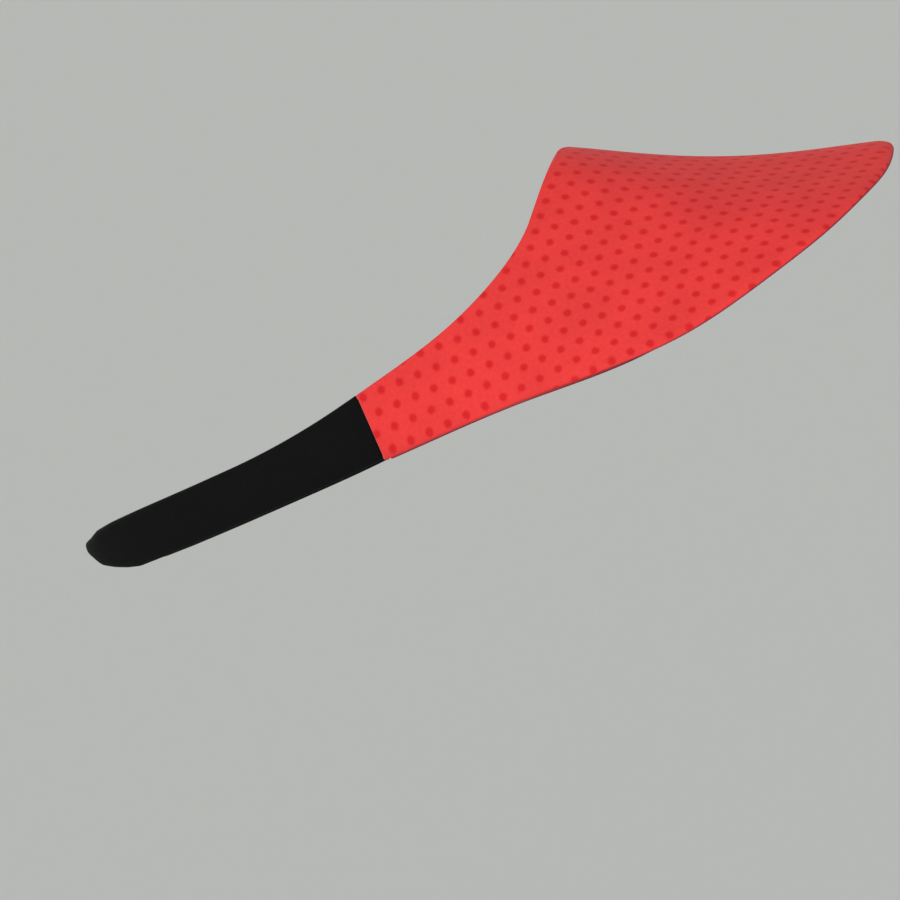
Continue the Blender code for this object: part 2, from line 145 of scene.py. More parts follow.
PUCKER_DEPTH, PUCKER_TURN, PUCKER_DRIFT, PUCKER_DRIFT_TURN = 0.10, 1.25, 0.8, 0.31
PUCKER_RISE, PUCKER_FALL = (4.0, 16.0), (84.0, 98.0)
BEND_REACH, BEND_DEPTH = 3.0, 2.0
SLEEVE_POWER, PAD_POWER, SPRING_POWER = 2.9, 5.0, 12.0  # how square a section is: 2 is an ellipse
PAD_ROUNDING, SPRING_ROUNDING = 4.0, 1.5
THREAD, THREAD_TWIST, THREAD_SIDES, YARN_TIP = 0.42, 0.9, 7, 0.35
STITCH_LENGTH, STITCH_PITCH = 1.9, 2.6
STITCH_DIVE, STITCH_RISE, STITCH_WAIST = 0.55, 0.75, 0.55
STITCH_LIFT, SLEEVE_STITCH_LIFT = 0.02, 0.1
SLEEVE_STITCH_SPAN = (4.0, TIP_END - 16.0)

BAND_END_ROUNDING, BAND_END_WIDTH = 5.0, 0.35
BAND_PUFF, PUFF_LENGTH = 0.05, 9.0
BAND_HEIGHT, BAND_SETTLE = 2.85, 0.1  # its base lies a little into the lining
BAND_FOAM_INSET, BAND_FOAM_LIFT = 1.2, 0.15
BAND_CLEARANCE, BAND_STITCH_GAP = 0.01, 0.5
BAND_POWER, BAND_BASE = 2.6, 0.12  # the section's squareness, and how far its base hangs
CASING_END_ROOM, CASING_TAPE, CASING_DOME = 0.4, 0.2, 0.12
DOME_SPAN = (0.3, 0.42)  # shares of the tape's width

# ---- the printed dots, in the cover's flat coordinates ----

FLAT_PEAK = 104.6  # forward, at the middle of the rim
DOT_SPACING = 6.195
DOT_RADIUS, DOT_BLEED = 1.2, 0.6
DOT_ROW_ANGLE = math.radians(-7.91)
DOT_START = (5.45, 89.64)
FAR_AWAY = 1000.0  # the print doesn't repeat across the cloth's thickness
DRAW_FORWARD, DRAW_SIDE, DRAW_SPREAD = -2.38e-4, -6.77e-4, 1.512e-3  # how the cloth gives, per mm

BRIM_COLUMNS = 361  # odd, so that one column lies on the crown
FACE_ROWS = 61
ROLL_ROWS = 9
ARM_STATIONS = 150
LOOP_POINTS = 72
SEAM_POINTS = 900
BAND_STATIONS, BAND_LOOP = 240, 40
STRIP_STATIONS, STRIP_LOOP = 110, 28
CASING_ROWS, CASING_COLUMNS = 60, 31
NORMAL_STEP_U, NORMAL_STEP_V = 0.015, 0.02  # for the normals' differences

ALONG = np.array([math.cos(ARM_TILT), 0.0, math.sin(ARM_TILT)])
ACROSS = np.array([-math.sin(ARM_TILT), 0.0, math.cos(ARM_TILT)])
SIDEWAYS = np.array([0.0, 1.0, 0.0])
JUNCTION_ANGLE = math.asin(JUNCTION_AHEAD / ARM_RADIUS)
CLOTH_REACH = 1.0 - CUFF_ROOM / HEADLINE_LENGTH
CLOTH_COLUMNS = np.linspace(-CLOTH_REACH, CLOTH_REACH, BRIM_COLUMNS)[:, None]


def smooth_step(value, start, end):
    share = np.clip((value - start) / (end - start), 0.0, 1.0)
    return share * share * (3.0 - 2.0 * share)


def squared(value, power):
    """A sine or cosine made fuller, for a section between an ellipse and a rectangle."""
    return np.sign(value) * np.abs(value) ** (2.0 / power)


def places_along(points):
    """Each point's distance along the line."""
    return np.concatenate([[0.0], np.cumsum(np.linalg.norm(np.diff(points, axis=0), axis=1))])


def read_along(wanted, places, values):
    """Rows of values, interpolated at the wanted places."""
    return np.stack([np.interp(wanted, places, column) for column in values.T], axis=-1)


def unit(vectors):
    return vectors / np.linalg.norm(vectors, axis=-1, keepdims=True)


# ---- the arms' strip ----


def arm_angle(distance):
    return JUNCTION_ANGLE - np.asarray(distance, float)[..., None] / ARM_RADIUS


def arm_outward(side, distance):
    angle = arm_angle(distance)
    return np.sin(angle) * ALONG + np.cos(angle) * side * SIDEWAYS


def arm_backward(side, distance):
    angle = arm_angle(distance)
    return -np.cos(angle) * ALONG + np.sin(angle) * side * SIDEWAYS


def arm_point(side, distance, across, depth):
    """Points on the arm: distance back from the junction, across the strip, and depth inwards."""
    distance, across, depth = np.broadcast_arrays(distance, across, depth)
    outward = arm_outward(side, distance)
    return (ARM_RADIUS - depth)[..., None] * outward + across[..., None] * ACROSS


def tip_edge(knots, to_end):
    """The tip's outline with its corners rounded."""
    places, across = zip(*knots)
    offsets = np.linspace(-TIP_ROUNDING, TIP_ROUNDING, 7)
    return np.mean([np.interp(np.maximum(to_end + o, 0.0), places, across) for o in offsets], axis=0)


def arm_edges(distance):
    """The strip's lower and upper edge."""
    distance = np.asarray(distance, float)
    top_taper = np.maximum(1.0 - distance / TOP_TAPER_LENGTH, 0.0) ** 2
    bottom_taper = np.maximum(1.0 - distance / BOTTOM_TAPER_LENGTH, 0.0) ** 2
    top = ARM_TOP + (JUNCTION_TOP - ARM_TOP) * top_taper
    bottom = ARM_BOTTOM + (JUNCTION_BOTTOM - ARM_BOTTOM) * bottom_taper
    return bottom, top


def sleeve_edges(distance):
    """The sleeve's lower and upper edge, with its sewn tip."""
    bottom, top = arm_edges(distance)
    bottom = bottom - SLEEVE_SAG * (1.0 - np.exp(-np.maximum(distance, 0.0) / MOUTH_EASE))
    to_end = TIP_END - distance
    tip_share = smooth_step(to_end, *TIP_SPAN)
    top = top + (tip_edge(TIP_TOP, to_end) - top) * tip_share
    bottom = bottom + (tip_edge(TIP_BOTTOM, to_end) - bottom) * tip_share
    closing = np.clip(to_end / TIP_CLOSING, 0.0, 1.0) ** 0.5
    point = TIP_TOP[0][1]
    return point + (bottom - point) * closing, point + (top - point) * closing


def arm_middle(distance):
    bottom, top = arm_edges(distance)
    return (bottom + top) / 2.0


# ---- the brim's outer face ----


def natural_spline(knots, samples=4000):
    """A dense polyline on the natural cubic spline through the knots, and each knot's place on it."""
    knots = np.array(knots, float)
    places = places_along(knots)
    steps = np.diff(places)
    count = len(knots)
    matrix = np.eye(count)
    right = np.zeros_like(knots)
    for i in range(1, count - 1):
        before, after = steps[i - 1], steps[i]
        matrix[i, i - 1 : i + 2] = before, 2.0 * (before + after), after
        right[i] = 6.0 * ((knots[i + 1] - knots[i]) / after - (knots[i] - knots[i - 1]) / before)
    bends = np.linalg.solve(matrix, right)
    wanted = np.linspace(0.0, places[-1], samples)
    span = np.clip(np.searchsorted(places, wanted, side="right") - 1, 0, count - 2)
    length = steps[span][:, None]
    after = (wanted - places[span])[:, None]
    before = length - after
    points = (
        (bends[span] * before**3 + bends[span + 1] * after**3) / (6.0 * length)
        + (knots[span] / length - bends[span] * length / 6.0) * before
        + (knots[span + 1] / length - bends[span + 1] * length / 6.0) * after
    )
    return points, wanted, places


def edge_curve(half, edge):
    """A function from 0 at the crown to 1 at the left junction, by length, along one edge of the brim.

    The knots are mirrored at the crown and run on down the arm, along its lower edge (0) or its upper (1).
    """
    lead_in = [arm_point(LEFT, distance, arm_edges(distance)[edge], 0.0) for distance in LEAD_IN]
    whole = [np.array(point, float) for point in half] + lead_in
    mirrored = [point * (1.0, -1.0, 1.0) for point in whole[:0:-1]]
    points, wanted, places = natural_spline(mirrored + whole)
    crown, junction = places[len(whole) - 1], places[len(whole) - 1 + len(half)]
    kept = (wanted >= crown - 1e-6) & (wanted <= junction + 1e-6)
    points = np.vstack([half[0], points[kept], lead_in[0]])
    lengths = places_along(points)
    lengths /= lengths[-1]

    def at(share):
        return read_along(share, lengths, points)

    return at


headline_at = edge_curve(HEADLINE, 1)
rim_at = edge_curve(RIM, 0)


def brim_face(u, v):
    """The outer face. u is -1 at the right arm, 0 at the crown and 1 at the left arm.

    v is 0 at the headline and 1 at the rim, and may pass them a little.
    """
    u, v = np.broadcast_arrays(np.asarray(u, float), np.asarray(v, float))
    share = np.abs(u)
    start = headline_at(share)
    end = rim_at(share + RIM_LEAD * share * (1.0 - share))
    point = start + v[..., None] * (end - start)
    reach = np.maximum(1.0 - (u / CROWN_DIP_REACH) ** 2, 0.0) ** 2
    hollow = np.maximum(4.0 * v * (1.0 - v), 0.0) ** CROWN_DIP_POWER
    point[..., 2] -= CROWN_DIP * reach * hollow
    point[..., 1] *= np.where(u < 0.0, -1.0, 1.0)
    return point


def brim_normal(u, v):
    """Outwards, away from the head, from differences taken inside the face."""
    u, v = np.broadcast_arrays(np.asarray(u, float), np.asarray(v, float))
    u = np.clip(u, NORMAL_STEP_U - 1.0, 1.0 - NORMAL_STEP_U)
    v = np.clip(v, NORMAL_STEP_V, 1.0 - NORMAL_STEP_V)
    across = brim_face(u + NORMAL_STEP_U, v) - brim_face(u - NORMAL_STEP_U, v)
    down = brim_face(u, v + NORMAL_STEP_V) - brim_face(u, v - NORMAL_STEP_V)
    return unit(np.cross(down, across))


def brim_width(u):
    return np.linalg.norm(brim_face(u, 1.0) - brim_face(u, 0.0), axis=-1)


def brim_layer(u, along, depth):
    """Points at a distance along the ruling from the headline, and a depth below the outer face."""
    u, along, depth = np.broadcast_arrays(u, along, depth)
    v = along / brim_width(u)
    return brim_face(u, v) - depth[..., None] * brim_normal(u, v)


def rearward(u):
    return smooth_step(np.abs(u), *FULLNESS_SPAN)


def cloth_edge(u):
    """Where the cloth folds over at the rim, from the headline. It is a little fuller towards the arms."""
    return brim_width(u) - EDGE_ROOM + REAR_FULLNESS * rearward(u)


def lining_depth(u):
    """Depth of the lining's inner face: fuller over the springs, and slack under the sharp crown."""
    rear = smooth_step(np.abs(u), *REAR_SPAN)
    slack = LINING_SLACK * np.exp(-((u / LINING_SLACK_REACH) ** 2))
    return LINING_INNER_FRONT + (LINING_INNER_REAR - LINING_INNER_FRONT) * rear + slack


# ---- the brim's flat cut ----


def placed(first, second, to_first, to_second):
    """The flat point at two given distances from two flat points, on the side away from the crown."""
    base = second - first
    gap = np.hypot(*base)
    along = (to_first**2 - to_second**2 + gap**2) / (2.0 * gap)
    aside = math.sqrt(max(to_first**2 - along**2, 0.0))
    return first + (along * base + aside * np.array([-base[1], base[0]])) / gap


def developed_half(count):
    """The face unrolled ruling by ruling from the crown: each ruling's flat headline and rim end."""
    shares = np.linspace(0.0, 1.0, count)
    near, far = brim_face(shares, 0.0), brim_face(shares, 1.0)
    flat_far = [np.array([FLAT_PEAK, 0.0])]
    flat_near = [flat_far[0] - (brim_width(0.0), 0.0)]
    for i in range(1, count):
        to_near, to_far = (np.linalg.norm(near[i] - p[i - 1]) for p in (near, far))
        flat_near.append(placed(flat_near[-1], flat_far[-1], to_near, to_far))
        to_near, to_far = np.linalg.norm(far[i] - near[i]), np.linalg.norm(far[i] - far[i - 1])
        flat_far.append(placed(flat_near[-1], flat_far[-1], to_near, to_far))
    return np.array(flat_near), np.array(flat_far)


def flat_cut(u, along):
    """Flat coordinates of points on the brim: forward, and away from the crown to the right."""
    half_near, half_far = developed_half(BRIM_COLUMNS // 2 + 1)
    shares = np.linspace(0.0, 1.0, len(half_near))
    u, along = np.broadcast_arrays(u, along)
    near, far = (read_along(np.abs(u), shares, ends) for ends in (half_near, half_far))
    flat = near + (far - near) * (along / brim_width(u))[..., None]
    flat[..., 1] *= np.where(u > 0.0, -1.0, 1.0)
    return flat


def drawn(flat):
    """The print's coordinates: the cloth gives a little as it is drawn over the arched board."""
    forward, side = flat[..., 0], flat[..., 1]
    drawn_forward = forward + DRAW_FORWARD * forward**2 + DRAW_SIDE * side**2
    drawn_side = side + DRAW_SPREAD * forward * side
    return np.stack([drawn_forward, drawn_side], axis=-1)


# ---- meshes ----


def mesh_piece(name, points, faces, finish, corner_uv=None):
    mesh = bpy.data.meshes.new(name)
    mesh.from_pydata((np.asarray(points) * MM).tolist(), [], faces)
    mesh.materials.append(finish)
    if corner_uv is not None:
        layer = mesh.uv_layers.new(name="cloth")
        layer.data.foreach_set("uv", (np.asarray(corner_uv) * MM).astype(np.float32).ravel())
    mesh.shade_smooth()
    made = bpy.data.objects.new(name, mesh)
    bpy.context.scene.collection.objects.link(made)
    return made


def grid_piece(name, grid, flat, finish, closed=False, flip=False, capped=False):
    """A skin over grid[i][j]. A closed one joins its last j to its first, and its flat has one more j.

    A capped one has a face over its last ring.
    """
    rows, size = grid.shape[:2]
    i, j = np.meshgrid(np.arange(rows - 1), np.arange(size if closed else size - 1), indexing="ij")
    i, j = i.ravel(), j.ravel()
    corners = [(i, j), (i, j + 1), (i + 1, j + 1), (i + 1, j)]
    if flip:
        corners = corners[::-1]
    faces = np.stack([a * size + b % size for a, b in corners], axis=1)
    corner_uv = np.stack([flat[a, b] for a, b in corners], axis=1).reshape(-1, 2)
    faces = faces.tolist()
    if capped:
        faces.append(list(range((rows - 1) * size, rows * size)))
        corner_uv = np.concatenate([corner_uv, flat[-1, :size]])
    return mesh_piece(name, grid.reshape(-1, 3), faces, finish, corner_uv)


def thicken(made, thickness):
    """Gives a skin its cloth's thickness, inwards."""
    modifier = made.modifiers.new("cloth_thickness", "SOLIDIFY")
    modifier.thickness = thickness * MM
    modifier.offset = -1.0
    return made


def tube_points(route, radii, turns, sides, ply_depth=0.16):
    """Rings of points round a route. turns is each ring's angle, which twists the yarn."""
    tangent = unit(np.gradient(route, axis=0))
    start = np.cross(tangent[0], [0.31, 0.57, 0.76])
    normal = unit(start)
    rings = []
    for i in range(len(route)):
        normal = unit(normal - (normal @ tangent[i]) * tangent[i])
        binormal = np.cross(tangent[i], normal)
        angle = np.linspace(0.0, 2.0 * math.pi, sides, endpoint=False)
        ply = 1.0 + ply_depth * np.cos(2.0 * angle - turns[i])
        spokes = np.cos(angle)[:, None] * normal + np.sin(angle)[:, None] * binormal
        rings.append(route[i] + (radii[i] * ply)[:, None] * spokes)
    return np.array(rings)


def ring_faces(rows, sides):
    """Faces between rings, with a cap over the first ring."""
    faces = []
    for start in range(0, (rows - 1) * sides, sides):
        for j in range(sides):
            after = (j + 1) % sides
            faces.append((start + j, start + after, start + sides + after, start + sides + j))
    faces.append(tuple(range(sides))[::-1])
    return faces


def capped_tube(rings):
    """Vertices and faces of a closed tube from its rings."""
    rows, sides = rings.shape[:2]
    last_cap = tuple(range((rows - 1) * sides, rows * sides))
    return rings.reshape(-1, 3), ring_faces(rows, sides) + [last_cap]


def merged(parts):
    """One vertex list and face list from several."""
    points, faces = [], []
    count = 0
    for part_points, part_faces in parts:
        points.append(part_points)
        faces.extend(tuple(count + k for k in face) for face in part_faces)
        count += len(part_points)
    return np.concatenate(points), faces


def yarn(name, route, diameter, twist_pitch, finish, step=0.25, sides=8, ply_depth=0.16):
    """A two-ply twisted cord along a route, its ends tapered. step is the room between its rings."""
    places = places_along(route)
    wanted = np.linspace(0.0, places[-1], max(int(round(places[-1] / step)) + 1, 4))
    route = read_along(wanted, places, route)
    to_end = np.minimum(wanted, wanted[-1] - wanted)
    radii = diameter / 2.0 * np.clip(YARN_TIP + to_end / diameter, YARN_TIP, 1.0)
    rings = tube_points(route, radii, 2.0 * math.pi * wanted / twist_pitch, sides, ply_depth)
    points, faces = capped_tube(rings)
    return mesh_piece(name, points, faces, finish)


def stitch_row(name, node, route, outward, finish):
    """Single stitches along a route: each arches over the cloth and dives in at both ends."""
    places = places_along(route)
    count = int((places[-1] - STITCH_LENGTH) / STITCH_PITCH)
    start = (places[-1] - (count - 1) * STITCH_PITCH - STITCH_LENGTH) / 2.0
    share = np.linspace(0.0, 1.0, 9)
    arch = np.sin(math.pi * share) ** 0.5 - STITCH_DIVE
    radii = THREAD / 2.0 * (STITCH_WAIST + (1.0 - STITCH_WAIST) * np.sin(math.pi * share) ** 0.4)
    parts = []
    for k in range(count):
        wanted = start + k * STITCH_PITCH + share * STITCH_LENGTH
        line, lift = (read_along(wanted, places, values) for values in (route, outward))
        line = line + (arch * THREAD * STITCH_RISE)[:, None] * unit(lift)
        rings = tube_points(line, radii, 2.0 * math.pi * wanted / THREAD_TWIST, THREAD_SIDES)
        parts.append(capped_tube(rings))
    made = mesh_piece(name, *merged(parts), finish)
    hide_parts(node)
    return made


# ---- materials ----


def add_node(tree, kind, inputs=None, **settings):
    made = tree.nodes.new("ShaderNode" + kind)
    for key, value in settings.items():
        setattr(made, key, value)
    for key, value in (inputs or {}).items():
        if isinstance(value, bpy.types.NodeSocket):
            tree.links.new(value, made.inputs[key])
        else:
            made.inputs[key].default_value = value
    return made


def maths(tree, operation, *values):
    return add_node(tree, "Math", dict(enumerate(values)), operation=operation).outputs[0]


def vector_maths(tree, operation, *values, output=0):
    made = add_node(tree, "VectorMath", dict(enumerate(values)), operation=operation)
    return made.outputs[output]


def in_millimetres(tree, vector):
    scaled = add_node(tree, "VectorMath", {0: vector, "Scale": 1.0 / MM}, operation="SCALE")
    return scaled.outputs[0]


def ramped(tree, value, low, high, from_low=0.0, from_high=1.0):
    """value moved smoothly from one range into another."""
    made = add_node(tree, "MapRange", interpolation_type="SMOOTHSTEP")
    for key, number in (("From Min", from_low), ("From Max", from_high), ("To Min", low), ("To Max", high)):
        made.inputs[key].default_value = number
    tree.links.new(value, made.inputs["Value"])
    return made.outputs["Result"]


def mixed(tree, share, first, second, blend="MIX"):
    made = add_node(tree, "Mix", data_type="RGBA", blend_type=blend)
    for socket, value in ((made.inputs[0], share), (made.inputs[6], first), (made.inputs[7], second)):
        if isinstance(value, bpy.types.NodeSocket):
            tree.links.new(value, socket)
        elif isinstance(value, float):
            socket.default_value = value
        else:
            socket.default_value = (*value, 1.0)
    return made.outputs[2]


def noise(tree, vector, scale, detail=3.0, roughness=0.5):
    inputs = {"Vector": vector, "Scale": scale, "Detail": detail, "Roughness": roughness}
    return add_node(tree, "TexNoise", inputs).outputs["Fac"]


def finish(name, colour, roughness, **sockets):
    """A Principled material. sockets are other constants, by their names with underscores."""
    made = bpy.data.materials.new(name)
    made.use_nodes = True
    shader = made.node_tree.nodes["Principled BSDF"]
    shader.inputs["Base Color"].default_value = (*colour, 1.0)
    shader.inputs["Roughness"].default_value = roughness
    for key, value in sockets.items():
        shader.inputs[key.replace("_", " ")].default_value = value
    made.diffuse_color = (*colour, 1.0)
    return made, made.node_tree, shader


def shaded(tree, shader, colour, shade):
    """The colour, made lighter and darker over the surface."""
    tree.links.new(mixed(tree, 1.0, colour, shade, "MULTIPLY"), shader.inputs["Base Color"])


def bumped(tree, shader, height, strength, distance):
    inputs = {"Height": height, "Strength": strength, "Distance": distance * MM}
    made = add_node(tree, "Bump", inputs)
    tree.links.new(made.outputs["Normal"], shader.inputs["Normal"])


def cloth_uv(tree):
    """Flat cloth coordinates in millimetres."""
    return in_millimetres(tree, add_node(tree, "UVMap", uv_map="cloth").outputs["UV"])


def plain_weave(tree, flat, pitch):
    """Height from 0 to 1 of a plain weave: each thread passes over one and under the next."""
    parts = add_node(tree, "SeparateXYZ", {0: flat})
    turns = [maths(tree, "MULTIPLY", parts.outputs[axis], math.pi / pitch) for axis in (0, 1)]
    ridges = [maths(tree, "ABSOLUTE", maths(tree, "SINE", turn)) for turn in turns]
    over = maths(tree, "MULTIPLY", *[maths(tree, "COSINE", turn) for turn in turns])
    share = maths(tree, "MULTIPLY_ADD", over, 0.5, 0.5)
    weft = maths(tree, "MULTIPLY", ridges[0], share)
    warp = maths(tree, "MULTIPLY", ridges[1], maths(tree, "SUBTRACT", 1.0, share))
    return maths(tree, "MAXIMUM", weft, warp)


def dot_distance(tree, flat):
    """Distance in millimetres to the nearest dot of a hexagonal print."""
    inputs = {"Vector": vector_maths(tree, "SUBTRACT", flat, (*DOT_START, 0.0)), "Angle": -DOT_ROW_ANGLE}
    turned = add_node(tree, "VectorRotate", inputs, rotation_type="Z_AXIS").outputs[0]
    half = (DOT_SPACING / 2.0, DOT_SPACING * math.sqrt(3.0) / 2.0, FAR_AWAY)
    shifted = vector_maths(tree, "SUBTRACT", turned, (half[0], half[1], 0.0))
    away = [
        vector_maths(tree, "LENGTH", vector_maths(tree, "WRAP", place, half, [-h for h in half]), output=1)
        for place in (turned, shifted)
    ]
    return maths(tree, "MINIMUM", *away)


def dotted_fabric():
    """Red cloth with darker printed dots, a plain weave, and a painted highlight along the cuffs' folded
    edges.
    """
    base, dot, highlight_pink = (0.825, 0.044, 0.042), (0.68, 0.013, 0.018), (0.85, 0.22, 0.21)
    sheen = {"Sheen_Weight": 0.04, "Sheen_Roughness": 0.5}
    made, tree, shader = finish("dotted_red_fabric", base, 0.85, Specular_IOR_Level=0.2, **sheen)
    flat = cloth_uv(tree)
    bleed = noise(tree, flat, 1.6, detail=2.0)
    away = maths(tree, "ADD", dot_distance(tree, flat), maths(tree, "MULTIPLY_ADD", bleed, 0.5, -0.25))
    inside = ramped(tree, away, 1.0, 0.0, DOT_RADIUS - DOT_BLEED, DOT_RADIUS + DOT_BLEED)
    printed = mixed(tree, inside, base, dot)
    # painted highlight: the outer edges of the cuffs' folds are mixed towards a light pink
    fold_highlight = add_node(tree, "Attribute", attribute_name="fold_highlight").outputs["Fac"]
    printed = mixed(tree, maths(tree, "MULTIPLY", fold_highlight, 0.55), printed, highlight_pink)
    weave = plain_weave(tree, flat, 0.42)
    grain = noise(tree, flat, 2.4, detail=4.0, roughness=0.7)
    broad = noise(tree, flat, 0.06, detail=3.0)
    mottle = noise(tree, flat, 0.75, detail=3.0, roughness=0.6)
    shade = ramped(tree, grain, 0.94, 1.06, 0.25, 0.75)
    shade = maths(tree, "ADD", shade, ramped(tree, broad, -0.04, 0.04, 0.3, 0.7))
    shade = maths(tree, "ADD", shade, ramped(tree, mottle, -0.045, 0.045, 0.3, 0.7))
    # painted shade: the colour is darker in the weave's hollows
    shade = maths(tree, "MULTIPLY", shade, ramped(tree, weave, 0.90, 1.0))
    shaded(tree, shader, printed, shade)
    tree.links.new(ramped(tree, grain, 0.8, 0.92), shader.inputs["Roughness"])
    bumped(tree, shader, weave, 0.35, 0.08)
    return made


def plain_fabric(name, colour, pitch, sheen, depth=0.08, fade=0.06, gloss=0.2):
    """One-colour cloth. depth is the weave's, and fade is how unevenly the colour has taken."""
    sockets = {"Sheen_Weight": sheen, "Sheen_Roughness": 0.5, "Specular_IOR_Level": gloss}
    made, tree, shader = finish(name, colour, 0.88, **sockets)
    flat = cloth_uv(tree)
    weave = plain_weave(tree, flat, pitch)
    grain = noise(tree, flat, 1.8, detail=4.0, roughness=0.65)
    broad = noise(tree, flat, 0.07)
    shade = ramped(tree, grain, 1.0 - fade, 1.0 + fade, 0.25, 0.75)
    shade = maths(tree, "ADD", shade, ramped(tree, broad, -0.4 * fade, 0.4 * fade, 0.3, 0.7))
    # painted shade: the colour is darker in the weave's hollows
    shade = maths(tree, "MULTIPLY", shade, ramped(tree, weave, 0.85, 1.0))
    shaded(tree, shader, colour, shade)
    tree.links.new(ramped(tree, grain, 0.82, 0.95), shader.inputs["Roughness"])
    bumped(tree, shader, weave, 0.4, depth)
    return made


def object_coordinates(tree):
    """The piece's own coordinates in millimetres."""
    return in_millimetres(tree, add_node(tree, "TexCoord").outputs["Object"])


def grained(name, colour, roughness, grain, bump, shade=None, rough=None, **sockets):
    """A material with one fine grain, which spreads its shade and its roughness over two ranges."""
    made, tree, shader = finish(name, colour, roughness, **sockets)
    height = noise(tree, object_coordinates(tree), *grain)
    if shade:
        shaded(tree, shader, colour, ramped(tree, height, *shade))
    if rough:
        tree.links.new(ramped(tree, height, *rough), shader.inputs["Roughness"])
    bumped(tree, shader, height, *bump)
    return made


def thread_material(name, colour):
    sheen = {"Sheen_Weight": 0.05, "Sheen_Roughness": 0.4}
    return grained(name, colour, 0.55, (9.0, 4.0), (0.3, 0.04), shade=(0.7, 1.15, 0.3, 0.7), **sheen)


def foam_material(name, colour):
    made, tree, shader = finish(name, colour, 0.95)
    place = object_coordinates(tree)
    pores = add_node(tree, "TexVoronoi", {"Vector": place, "Scale": 2.2}).outputs["Distance"]
    # painted shade: the colour is darker in the pores
    shaded(tree, shader, colour, ramped(tree, pores, 0.6, 1.1, 0.0, 0.6))
    bumped(tree, shader, pores, 0.6, 0.15)
    return made


def board_material():
    colour, grain = (0.10, 0.10, 0.11), (1.2, 5.0, 0.7)
    return grained("brim_board", colour, 0.6, grain, (0.3, 0.1), shade=(0.8, 1.2), rough=(0.5, 0.7))


def spring_material():
    made, tree, shader = finish("spring_steel", (0.56, 0.57, 0.58), 0.3, Metallic=1.0)
    stretched = vector_maths(tree, "MULTIPLY", object_coordinates(tree), (0.4, 0.4, 14.0))
    brushed = noise(tree, stretched, 1.0, detail=3.0)
    tree.links.new(ramped(tree, brushed, 0.22, 0.42, 0.3, 0.7), shader.inputs["Roughness"])
    bumped(tree, shader, brushed, 0.15, 0.02)
    return made


def vinyl_material():
    colour, coat = (0.008, 0.008, 0.009), {"Coat_Weight": 0.2, "Coat_Roughness": 0.25}
    return grained("black_vinyl", colour, 0.4, (0.8, 2.0), (0.4, 0.08), rough=(0.32, 0.48), **coat)


# ---- the brim ----


def roll_profile(width, depth):
    """(inset from the edge, depth, length past the face) of the cloth's turn over the board's edge."""
    angle = np.linspace(0.0, ROLL_END, ROLL_ROWS)[1:]
    inset = width * (1.0 - np.sin(angle))
    sunk = depth * (1.0 - np.cos(angle))
    length = (0.5 * (width**2 + depth**2)) ** 0.5 * angle
    tucked = (inset[..., -1:] + CUFF_TUCK, sunk[..., -1:] + TUCK_SINK, length[..., -1:] + CUFF_TUCK)
    return [np.concatenate([values, last], axis=-1) for values, last in zip((inset, sunk, length), tucked)]


def crown_share(u):
    return 1.0 - smooth_step(np.abs(u), *CROWN_SPAN)


def seam_depth(u, roll_depth):
    """Depth of a seam, which sinks where its edge rolls deeper at the crown."""
    return SEAM_DEPTH + roll_depth * SEAM_FOLLOWS_ROLL * crown_share(u)


def cuff_roll(grid, flat, inward, size=1.0):
    """Adds the folded ends: the cloth turns in at each arm and runs a little way back under itself.

    inward is 1 for the cover and -1 for the lining. size scales the fold, for each row if need be. Each row
    turns about its own surface, so that the fold follows the rolled edges.
    """
    angle = np.linspace(0.0, math.pi, ROLL_ROWS)[1:]
    reach = np.append(CUFF_FOLD * np.sin(angle), -CUFF_TUCK)
    sink = np.append(CUFF_FOLD * (1.0 - np.cos(angle)), 2.0 * CUFF_FOLD)
    length = np.append(CUFF_FOLD * angle, CUFF_FOLD * math.pi + CUFF_TUCK)
    for side, at, before in ((LEFT, -1, -2), (RIGHT, 0, 1)):
        back = arm_backward(side, 0.0)
        out = side * unit(np.cross(np.gradient(grid[at], axis=0), back))
        out[:2], out[-2:] = out[2], out[-3]  # the tucked rows lie under their neighbours
        step = unit(flat[at] - flat[before])
        fold = np.broadcast_to(size, grid.shape[1:2])[:, None]
        turned = [grid[at] + fold * (r * back - inward * s * out) for r, s in zip(reach, sink)]
        turned_flat = [flat[at] + d * step for d in length]
        if side == LEFT:
            grid, flat = np.concatenate([grid, turned]), np.concatenate([flat, turned_flat])
        else:
            grid, flat = np.concatenate([turned[::-1], grid]), np.concatenate([turned_flat[::-1], flat])
    return grid, flat


